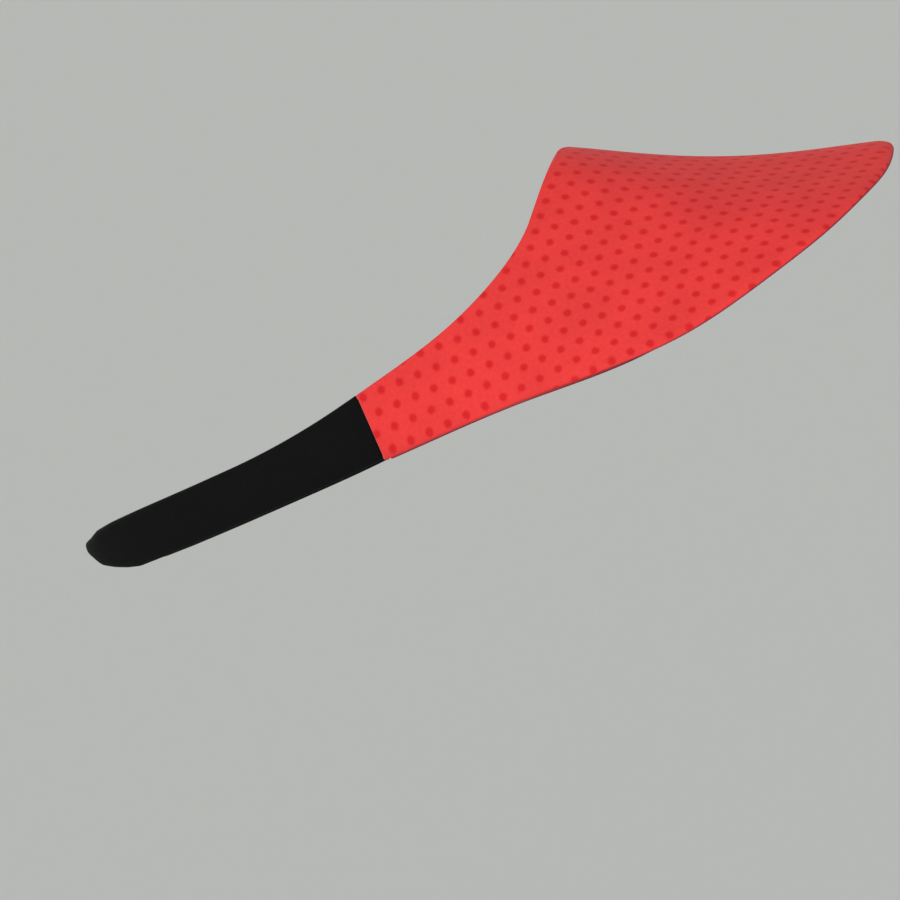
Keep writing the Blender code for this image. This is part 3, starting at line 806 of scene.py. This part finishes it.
def make_cover(cloth):
    """The printed cloth over the board, turned over both edges and folded in at the arms."""
    u = CLOTH_COLUMNS
    edge = cloth_edge(u)
    crown = crown_share(u)
    rim_width = RIM_ROLL_WIDTH + NOSE_ROLL_WIDTH * crown
    rim_depth = RIM_ROLL_DEPTH + NOSE_ROLL_DEPTH * crown
    near = HEADLINE_ROLL_WIDTH + PEAK_ROLL_WIDTH * crown
    near_depth = HEADLINE_ROLL_DEPTH + PEAK_ROLL_DEPTH * crown
    rim_inset, rim_sunk, rim_length = roll_profile(rim_width, rim_depth)
    near_inset, near_sunk, near_length = roll_profile(near, near_depth)
    far = edge - rim_width
    face = near + np.linspace(0.0, 1.0, FACE_ROWS) * (far - near)
    along = np.concatenate([near_inset[:, ::-1], face, edge - rim_inset], axis=1)
    depth = np.concatenate([near_sunk[:, ::-1], np.zeros_like(face), rim_sunk], axis=1)
    cut = np.concatenate([near - near_length[:, ::-1], face, far + rim_length], axis=1)
    grid = brim_layer(u, along, depth)
    flat = flat_cut(u, cut)
    grid, flat = cuff_roll(grid, flat, 1.0)
    made = thicken(grid_piece("cover", grid, drawn(flat), cloth), CLOTH)
    # painted highlight: marks the outside of the cuffs' folds, where the light catches them
    fold_highlight = np.zeros(grid.shape[:2])
    fold_highlight[1 : ROLL_ROWS - 2] = 1.0  # on the outside of the cuffs' folds
    fold_highlight[-ROLL_ROWS + 2 : -1] = 1.0
    attribute = made.data.attributes.new("fold_highlight", "FLOAT", "POINT")
    attribute.data.foreach_set("value", fold_highlight.astype(np.float32).ravel())
    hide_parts("brim_cover")
    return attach(made, "brim"), flat


def make_lining(cloth):
    """The plain cloth on the side that faces the head."""
    u = CLOTH_COLUMNS
    edge = cloth_edge(u)
    whole = lining_depth(u)
    share = np.linspace(0.0, 1.0, ROLL_ROWS)
    rear = smooth_step(np.abs(u), *REAR_SPAN)
    chamfer = CHAMFER_FRONT + (CHAMFER_REAR - CHAMFER_FRONT) * rear
    sides = np.append(SEAM_CORD_INSET + chamfer * (1.0 - share), np.full_like(u, CUFF_TUCK), axis=1)
    near, far = sides[:, :1], edge - sides[:, :1]
    face = near + np.linspace(0.0, 1.0, FACE_ROWS + 2)[1:-1] * (far - near)
    along = np.concatenate([sides[:, ::-1], face, edge - sides], axis=1)
    rise = np.append(share**CHAMFER_POWER, 1.0)
    near_rise = (whole - seam_depth(u, PEAK_ROLL_DEPTH)) * rise[::-1]
    far_rise = (whole - seam_depth(u, NOSE_ROLL_DEPTH)) * rise
    slope = np.concatenate([rise[::-1], np.zeros(FACE_ROWS), rise])
    deep = whole - np.concatenate([near_rise, np.zeros_like(face), far_rise], axis=1)
    grid = brim_layer(u, along, deep)
    flat = flat_cut(u, along)
    grid, flat = cuff_roll(grid, flat, -1.0, 1.0 - FOLD_FADE * slope)
    made = thicken(grid_piece("lining", grid, flat, cloth, flip=True), CLOTH)
    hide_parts("brim_lining")
    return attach(made, "brim"), flat


def declare_cloth(flat):
    """Works out how the cloth was cut, the flat outline's size and area, and passes them on to nothing."""
    size = flat.max(axis=(0, 1)) - flat.min(axis=(0, 1))
    first, second = np.diff(flat, axis=0)[:, :-1], np.diff(flat, axis=1)[:-1]
    area = np.abs(first[..., 0] * second[..., 1] - first[..., 1] * second[..., 0]).sum()
    cut, area = tuple(float(x) * MM for x in size), float(area) * MM * MM


def rim_seam(u):
    return brim_layer(u, cloth_edge(u) - SEAM_CORD_INSET * rearward(u), seam_depth(u, NOSE_ROLL_DEPTH))


def make_seams(thread):
    share = 1.0 - SEAM_END_ROOM / HEADLINE_LENGTH
    u = np.linspace(-share, share, SEAM_POINTS)
    headline_seam = brim_layer(u, SEAM_CORD_INSET, seam_depth(u, PEAK_ROLL_DEPTH))
    for name, route in (("rim_seam", rim_seam(u)), ("headline_seam", headline_seam)):
        made = yarn(name, route, SEAM_CORD, SEAM_TWIST, thread, ply_depth=SEAM_PLY)
        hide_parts(f"{name}_cord")
        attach(made, "brim")


def make_thread_ends(thread):
    """Two short tails where seams were tied off, on the right side of the rim. Each curls as it hangs."""
    for name, share, length in THREAD_ENDS:
        tangent = unit(brim_face(-share + 0.01, 1.0) - brim_face(-share, 1.0))
        down = unit(brim_face(-share, 1.0) - brim_face(-share, 0.9))
        t = np.linspace(0.0, 1.0, 12)[:, None]
        curl = t * (0.75 * down + 0.5 * tangent) - 0.35 * t**2 * tangent
        route = rim_seam(-share) + length * curl
        made = yarn(name, route, TAIL_THREAD, TAIL_TWIST, thread, step=TAIL_STEP)
        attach(made, "brim")


def make_cuff_stitches(side_name, side, thread):
    u = side * (1.0 - CUFF_STITCH_INSET / HEADLINE_LENGTH)
    v = np.linspace(0.1, 0.9, 60)
    depth = lining_depth(u) + STITCH_LIFT
    route = brim_layer(u, v * brim_width(u), depth)
    name, node = f"{side_name}_cuff_stitches", f"{side_name}_cuff_stitching"
    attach(stitch_row(name, node, route, -brim_normal(u, v), thread), "brim")


# ---- the sweatband ----


def pillow_loop(count):
    """A soft flat-based section of width and height 1: (across from its middle, height above its base)."""
    angle = np.linspace(0.0, 2.0 * math.pi, count, endpoint=False)
    across = squared(np.cos(angle), BAND_POWER) / 2.0
    lift = squared(np.sin(angle), BAND_POWER)
    lift = np.where(lift > 0.0, lift, BAND_BASE * lift)
    return across, (lift + BAND_BASE) / (1.0 + BAND_BASE)


def band_piece(name, reach, start, width, top, height, cloth, puff=0.0):
    """A padded strip along the headline, on the lining."""
    u = np.linspace(-reach, reach, BAND_STATIONS)
    to_end = (reach - np.abs(u)) * HEADLINE_LENGTH
    closing = np.clip(to_end / BAND_END_ROUNDING, 0.0, 1.0) ** 0.5
    across, lift = pillow_loop(BAND_LOOP)
    ripple = 1.0 + puff * np.cos(2.0 * math.pi * u * HEADLINE_LENGTH / PUFF_LENGTH)
    share = BAND_END_WIDTH + (1.0 - BAND_END_WIDTH) * closing[:, None]
    along = start + width / 2.0 + across[None, :] * width * share
    depth = top + lift[None, :] * (height * closing * ripple)[:, None]
    grid = brim_layer(u[:, None], along, depth)
    perimeter = np.linspace(0.0, 2.0 * (width + height), BAND_LOOP + 1)
    flat = np.stack(np.broadcast_arrays(u[:, None] * HEADLINE_LENGTH, perimeter[None, :]), axis=-1)
    return grid_piece(name, grid, flat, cloth, closed=True)


def make_sweatband(cloth, foam, thread):
    reach = BAND_REACH + BAND_CLEARANCE
    top = BAND_TOP - BAND_SETTLE
    band = band_piece("sweatband", reach, BAND_START, BAND_WIDTH, top, BAND_HEIGHT, cloth, BAND_PUFF)
    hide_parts("sweatband_cover")
    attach(band, "brim")
    reach = BAND_REACH - BAND_CLEARANCE
    start, width = BAND_START + BAND_FOAM_INSET, BAND_WIDTH - 2.0 * BAND_FOAM_INSET
    top = BAND_TOP + BAND_FOAM_LIFT
    filling = band_piece("sweatband_filling", reach, start, width, top, BAND_FOAM, foam)
    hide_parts("sweatband_foam")
    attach(filling, "brim")
    u = np.linspace(-reach, reach, 400)
    route = brim_layer(u, BAND_START + BAND_WIDTH + BAND_STITCH_GAP, LINING_INNER_FRONT + STITCH_LIFT)
    v = (BAND_START + BAND_WIDTH) / brim_width(u)
    name, node = "sweatband_stitches", "sweatband_stitching"
    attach(stitch_row(name, node, route, -brim_normal(u, v), thread), "brim")


# ---- the arms ----


def blend_arm(made, side):
    """Bakes the piece's placement into its mesh. The short stretch either side of the joint is worked out,
    but nothing is bent.
    """
    start = arm_point(side, -BEND_REACH, 0.0, BEND_DEPTH) * MM
    end = arm_point(side, BEND_REACH, 0.0, BEND_DEPTH) * MM
    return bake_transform(made)


def soft_section(low, high, top, bottom, count, power):
    """A rounded section of the strip: across and depth, round from the upper edge over the outer face."""
    angle = np.linspace(0.0, 2.0 * math.pi, count, endpoint=False)
    swell, rise = squared(np.cos(angle), power), squared(np.sin(angle), power)
    across = (low + high)[:, None] / 2.0 + (high - low)[:, None] / 2.0 * swell
    depth = (top + bottom)[:, None] / 2.0 - (bottom - top)[:, None] / 2.0 * rise
    return across, depth


def wound(side, across, depth):
    """The section's points in the order that turns its faces outwards on this side."""
    if side == LEFT:
        return across[:, ::-1], depth[:, ::-1]
    return across, depth


def loop_flat(distance, low, high, count):
    """Flat coordinates of the sleeve's cloth: along the arm, and round it."""
    around = np.linspace(0.0, 1.0, count + 1)[None, :] * 2.0 * (high - low + SLEEVE_THICKNESS)[:, None]
    return np.stack(np.broadcast_arrays(distance[:, None], around), axis=-1)


def sleeve_faces(distance):
    """Depth of the sleeve's outer and inner face: thin in the cuff, full behind it, closing at the tip."""
    into_cuff = 1.0 - smooth_step(distance, 0.0, MOUTH_LENGTH)
    top = SLEEVE_TOP + (MOUTH_TOP - SLEEVE_TOP) * into_cuff
    bottom = SLEEVE_BOTTOM + (MOUTH_BOTTOM - SLEEVE_BOTTOM) * into_cuff
    to_end = np.clip((TIP_END - distance) / TIP_THINNING, 0.0, 1.0)
    closing = np.sin(math.pi / 2.0 * to_end) ** 0.6
    middle = (top + bottom) / 2.0
    return middle + (top - middle) * closing, middle + (bottom - middle) * closing


def sleeve_stations():
    """Distances of the sleeve's rings, closer together round the tip. The last is no point."""
    straight = np.linspace(-MOUTH_TUCK, TIP_END - TAIL_LENGTH, ARM_STATIONS)
    left = 1.0 - np.linspace(0.0, 1.0, TAIL_RINGS)[1:]
    curved = TIP_END - LAST_RING - TAIL_LENGTH * left**TAIL_CROWDING
    return np.concatenate([straight, curved])


def sleeve_width(distance):
    """The sleeve's edges, drawn in where it enters the cuff."""
    low, high = sleeve_edges(distance)
    neck = MOUTH_NECK * (1.0 - smooth_step(distance, *NECK_SPAN))
    easing = np.exp(-np.maximum(distance, 0.0) / MOUTH_EASE)
    return low + MOUTH_INSET_BOTTOM * easing + neck, high - MOUTH_INSET_TOP * easing - neck


def pucker(distance):
    """Small gathers along the inner seam, in depth."""
    present = smooth_step(distance, *PUCKER_RISE) * (1.0 - smooth_step(distance, *PUCKER_FALL))
    turn = distance * PUCKER_TURN + PUCKER_DRIFT * np.sin(distance * PUCKER_DRIFT_TURN)
    return PUCKER_DEPTH * np.sin(turn) * present


def make_sleeve(side_name, side, cloth):
    """The black cloth tube over the pads: its inner side is narrower, and gathered by the seam."""
    distance = sleeve_stations()
    low, high = sleeve_width(distance)
    top, bottom = sleeve_faces(distance)
    across, depth = soft_section(low, high, top, bottom, LOOP_POINTS, SLEEVE_POWER)
    inner = smooth_step(depth, (top + bottom)[:, None] / 2.0, bottom[:, None])
    edge_share = (across - (low + high)[:, None] / 2.0) / np.maximum(high - low, 0.1)[:, None] * 2.0
    into_cuff = 1.0 - smooth_step(distance, *INNER_SPAN)
    narrowing = INNER_INSET + (INNER_NECK - INNER_INSET) * into_cuff
    across = across - narrowing[:, None] * inner * edge_share * (high - low)[:, None] / SLEEVE_WIDTH
    depth = depth + pucker(distance)[:, None] * inner
    across, depth = wound(side, across, depth)
    grid = arm_point(side, distance[:, None], across, depth)
    flat = loop_flat(distance, low, high, LOOP_POINTS)
    made = grid_piece(f"{side_name}_sleeve", grid, flat, cloth, closed=True, capped=True)
    thicken(made, CLOTH)
    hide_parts(f"{side_name}_arm_sleeve")
    return blend_arm(made, side)


def make_sleeve_stitches(side_name, side, thread):
    distance = np.linspace(*SLEEVE_STITCH_SPAN, 500)
    depth = sleeve_faces(distance)[1] + pucker(distance) + SLEEVE_STITCH_LIFT
    route = arm_point(side, distance, arm_middle(distance), depth)
    name, node = f"{side_name}_sleeve_stitches", f"{side_name}_sleeve_seam"
    made = stitch_row(name, node, route, -arm_outward(side, distance), thread)
    blend_arm(made, side)


def strip_in_arm(name, side, start, end, edges, faces, power, finish_used, rounding):
    """A long closed strip inside the sleeve, with rounded ends."""
    distance = start + (end - start) * (0.5 - 0.5 * np.cos(np.linspace(0.0, math.pi, STRIP_STATIONS)))
    low, high = edges(distance)
    to_end = np.minimum(distance - start, end - distance)
    closing = 0.05 + 0.95 * np.clip(to_end / rounding, 0.0, 1.0) ** 0.5
    middle = (low + high) / 2.0
    low, high = middle + (low - middle) * closing, middle + (high - middle) * closing
    top, bottom = (np.full_like(distance, value) for value in faces)
    across, depth = soft_section(low, high, top, bottom, STRIP_LOOP, power)
    across, depth = wound(side, across, depth)
    rings = arm_point(side, distance[:, None], across, depth)
    points, strip_faces = capped_tube(rings)
    return mesh_piece(name, points, [face[::-1] for face in strip_faces], finish_used)


def pad_edges(distance):
    low, high = arm_edges(distance)
    return low + PAD_INSET, high - PAD_INSET


def spring_edges(distance):
    middle = arm_middle(distance)
    return middle - SPRING_WIDTH / 2.0, middle + SPRING_WIDTH / 2.0


def make_arm_filling(side_name, side, foam, steel):
    for which, faces in (("outer", OUTER_PAD), ("inner", INNER_PAD)):
        name = f"{side_name}_{which}_padding"
        made = strip_in_arm(name, side, PAD_START, PAD_END, pad_edges, faces, PAD_POWER, foam, PAD_ROUNDING)
        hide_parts(f"{side_name}_arm_{which}_pad")
        blend_arm(made, side)
    name, faces = f"{side_name}_spring", (SPRING_TOP, SPRING_TOP + SPRING_THICKNESS)
    spring = strip_in_arm(
        name, side, HINGE_GAP, SPRING_END, spring_edges, faces, SPRING_POWER, steel, SPRING_ROUNDING
    )
    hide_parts(f"{side_name}_arm_spring")
    blend_arm(spring, side)


def make_casing(side_name, side, tape):
    """The woven tape that holds the spring's root, domed over it and flat at its sewn edges."""
    end = 1.0 - CASING_END_ROOM / HEADLINE_LENGTH
    u = side * np.linspace(CASING_START, end, CASING_ROWS)[:, None]
    if side == RIGHT:
        u = u[::-1]
    across = np.linspace(-0.5, 0.5, CASING_COLUMNS)[None, :]
    middle = brim_width(u) - SPRING_ABOVE_RIM
    depth = CASING_TOP + CASING_THICKNESS - CASING_DOME * smooth_step(np.abs(across), *DOME_SPAN)
    grid = brim_layer(u, middle + across * CASING_WIDTH, depth)
    flat = np.stack(np.broadcast_arrays(u * HEADLINE_LENGTH, across * CASING_WIDTH), axis=-1)
    made = thicken(grid_piece(f"{side_name}_casing_tape", grid, flat, tape, flip=True), CASING_TAPE)
    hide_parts(f"{side_name}_spring_casing")
    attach(made, "brim")
    declare_cloth(flat)


# ---- the stage ----


def make_camera():
    """A long lens, level with the brim's rear end, square to the visor's right side."""
    camera = bpy.data.cameras.new("camera")
    camera.lens = 166.4
    made = bpy.data.objects.new("camera", camera)
    made.location = (0.046, -1.3, 0.0053)
    made.rotation_euler = (math.radians(90.0), 0.0, 0.0)
    bpy.context.scene.collection.objects.link(made)
    bpy.context.scene.camera = made


def make_cove():
    """A round light tent: a pale floor that curves up into a faintly glowing wall on every side."""
    floor, radius, bend, height, hub = -1.8, 4.0, 2.4, 3.6, 0.02
    profile = [(r, floor) for r in np.linspace(hub, radius - bend, 12)]
    profile += [
        (radius - bend + bend * math.sin(a), floor + bend * (1.0 - math.cos(a)))
        for a in np.linspace(0.0, math.pi / 2.0, 25)[1:]
    ]
    profile.append((radius, height))
    turns = np.linspace(0.0, 2.0 * math.pi, 97)[:-1]
    points = [(r * math.cos(a), r * math.sin(a), z) for r, z in profile for a in turns]
    pale, _, shader = finish("pale_wall", (0.5, 0.505, 0.49), 0.9)
    shader.inputs["Emission Color"].default_value = (0.98, 1.0, 0.97, 1.0)
    shader.inputs["Emission Strength"].default_value = 0.2
    cove = mesh_piece("cove", np.array(points) / MM, ring_faces(len(profile), len(turns)), pale)


def add_light(name, place, target, size, power):
    light = bpy.data.lights.new(name, "AREA")
    light.shape = "DISK"
    light.size = size
    light.energy = power
    made = bpy.data.objects.new(name, light)
    made.location = place
    away = np.array(target, float) - np.array(place, float)
    tilt, turn = math.acos(-away[2] / np.linalg.norm(away)), math.atan2(away[1], away[0])
    made.rotation_euler = (tilt, 0.0, turn - math.pi / 2.0)
    made.visible_camera = False
    bpy.context.scene.collection.objects.link(made)


def make_lights():
    centre = (0.05, 0.0, 0.04)
    add_light("key", (-0.5, -2.0, 0.4), centre, 1.3, 27.0)
    add_light("fill", (1.4, -1.6, 0.1), centre, 1.4, 5.0)
    add_light("back", (-1.2, 1.9, 0.7), centre, 1.4, 16.0)
    world = bpy.data.worlds.new("room")
    world.use_nodes = True
    background = world.node_tree.nodes["Background"]
    background.inputs["Color"].default_value = (0.9, 0.92, 0.94, 1.0)
    background.inputs["Strength"].default_value = 0.45
    bpy.context.scene.world = world
    bpy.context.scene.view_settings.view_transform = "Standard"


def give(node, material):
    """A better finish for a CAD node that stays."""
    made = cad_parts[node]
    made.data.materials.clear()
    made.data.materials.append(material)


def main():
    dotted = dotted_fabric()
    lining_cloth = plain_fabric("red_lining_fabric", (0.74, 0.036, 0.040), 0.5, 0.1)
    black = (0.0026, 0.0026, 0.0029)
    black_cloth = plain_fabric("black_fabric", black, 0.6, 0.01, depth=0.12, fade=0.15, gloss=0.14)
    tape = plain_fabric("casing_tape", (0.70, 0.68, 0.64), 0.8, 0.1, depth=0.15)
    red_thread = thread_material("dark_red_thread", (0.22, 0.011, 0.045))
    black_thread = thread_material("black_thread", (0.008, 0.008, 0.009))
    foam = foam_material("grey_foam", (0.22, 0.22, 0.23))
    steel, vinyl, board = spring_material(), vinyl_material(), board_material()
    make_camera()
    cover, cover_flat = make_cover(dotted)
    lining, lining_flat = make_lining(lining_cloth)
    make_seams(red_thread)
    make_thread_ends(red_thread)
    declare_cloth(cover_flat)
    declare_cloth(lining_flat)
    make_sweatband(lining_cloth, foam, red_thread)
    give("brim_core", board)
    for side_name, side in SIDES.items():
        make_cuff_stitches(side_name, side, red_thread)
        make_casing(side_name, side, tape)
        make_sleeve(side_name, side, black_cloth)
        make_sleeve_stitches(side_name, side, black_thread)
        make_arm_filling(side_name, side, foam, steel)
        give(f"{side_name}_spring_root", steel)
        give(f"{side_name}_spring_cap", vinyl)
    make_cove()
    make_lights()


main()
